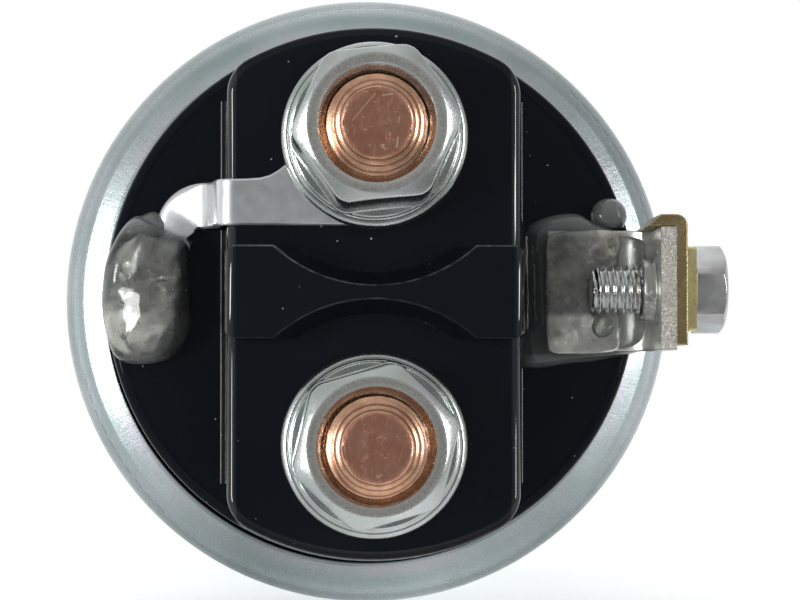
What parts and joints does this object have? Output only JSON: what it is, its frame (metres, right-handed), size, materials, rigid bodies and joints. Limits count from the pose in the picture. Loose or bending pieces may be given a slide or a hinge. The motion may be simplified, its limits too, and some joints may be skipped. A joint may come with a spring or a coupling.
{
  "type": "starter solenoid relay",
  "caption": "Starter motor solenoid: round zinc-plated steel housing with windings and sprung plunger, black cap with copper main terminals, a connector strap and a screw-clamp terminal.",
  "frame": {"origin": "centre of the housing's mounting face, on the relay's axis", "axes": "-Y along the relay's axis from the mounting face towards the terminals, so +Y points out of the mounting face along the plunger; +Z from the battery terminal towards the motor terminal; +X towards the switch terminal with its clamp screw"},
  "size_m": [0.0687, 0.1603, 0.066],
  "materials": {
    "zinc_plated_steel": "bright zinc plating, drawn steel",
    "black_plastic": "glossy moulded phenolic",
    "rubber": "plain",
    "soft_iron": "turned",
    "sleeve_brass": "drawn",
    "bobbin_plastic": "moulded",
    "winding_copper": null,
    "insulating_paper": "pressed paper",
    "winding_tape": "woven tape",
    "lead_sleeve": "varnished sleeve",
    "stud_copper": null,
    "nut_zinc": "bright zinc plating",
    "tinned_copper": null,
    "solder": "soft solder, bright and lumpy",
    "clamp_brass": "plain pressed brass",
    "screw_zinc": "zinc plated",
    "insulating_board": "pressed board",
    "spring_steel": "drawn wire"
  },
  "bodies": {
    "relay_body": {"housing": "zinc_plated_steel", "cap": "black_plastic", "gasket": "rubber", "fixed_core": "soft_iron", "plunger_sleeve": "sleeve_brass", "bobbin": "bobbin_plastic", "pull_in_winding": "winding_copper", "winding_paper": "insulating_paper", "hold_in_winding": "winding_copper", "winding_tape": "winding_tape", "winding_leads": "winding_copper", "lead_sleeves": "lead_sleeve", "battery_bolt": "stud_copper", "motor_bolt": "stud_copper", "terminal_nuts": "nut_zinc", "motor_strap": "tinned_copper", "strap_solder": "solder", "switch_bracket": "tinned_copper", "bracket_solder": "solder", "return_spring": "spring_steel", "rod_spring": "spring_steel"},
    "plunger": {"plunger": "soft_iron", "spring_seat": "zinc_plated_steel", "seat_circlip": "spring_steel"},
    "contact_rod": {"contact_rod": "soft_iron", "rod_collar": "soft_iron", "rod_clip": "spring_steel", "contact_spring": "spring_steel"},
    "moving_contact": {"contact_disc": "stud_copper", "lower_insulator": "insulating_board", "upper_insulator": "insulating_board"},
    "terminal_clamp": {"wire_clamp": "clamp_brass", "clamp_washer": "clamp_brass"},
    "terminal_screw": {"clamp_screw": "screw_zinc"}
  },
  "joints": [
    {"name": "plunger_slide", "type": "slide", "parent": "relay_body", "child": "plunger", "axis": [0, -1, 0], "range_m": [0, 0.0115], "stiffness_N_per_m": 850, "springref_m": -0.014, "deforming": ["return_spring"]},
    {"name": "rod_slide", "type": "slide", "parent": "relay_body", "child": "contact_rod", "axis": [0, -1, 0], "range_m": [0, 0.0029], "deforming": ["rod_spring"]},
    {"name": "contact_slide", "type": "slide", "parent": "relay_body", "child": "moving_contact", "axis": [0, -1, 0], "range_m": [0, 0.0024], "deforming": ["contact_spring"]},
    {"name": "clamp_slide", "type": "slide", "parent": "relay_body", "child": "terminal_clamp", "axis": [1, 0, 0], "range_m": [0, 0.0032]},
    {"name": "screw_turn", "type": "hinge", "parent": "terminal_clamp", "child": "terminal_screw", "pos_m": [0.03, -0.1, 0.0004], "axis": [1, 0, 0], "range_deg": [0, 1440]}
  ],
  "couplings": [
    {"joint": "rod_slide", "follows": "plunger_slide", "ratio": 0.25217},
    {"joint": "contact_slide", "follows": "plunger_slide", "ratio": 0.20869},
    {"joint": "screw_turn", "follows": "clamp_slide", "rad_per_m": 7854}
  ]
}
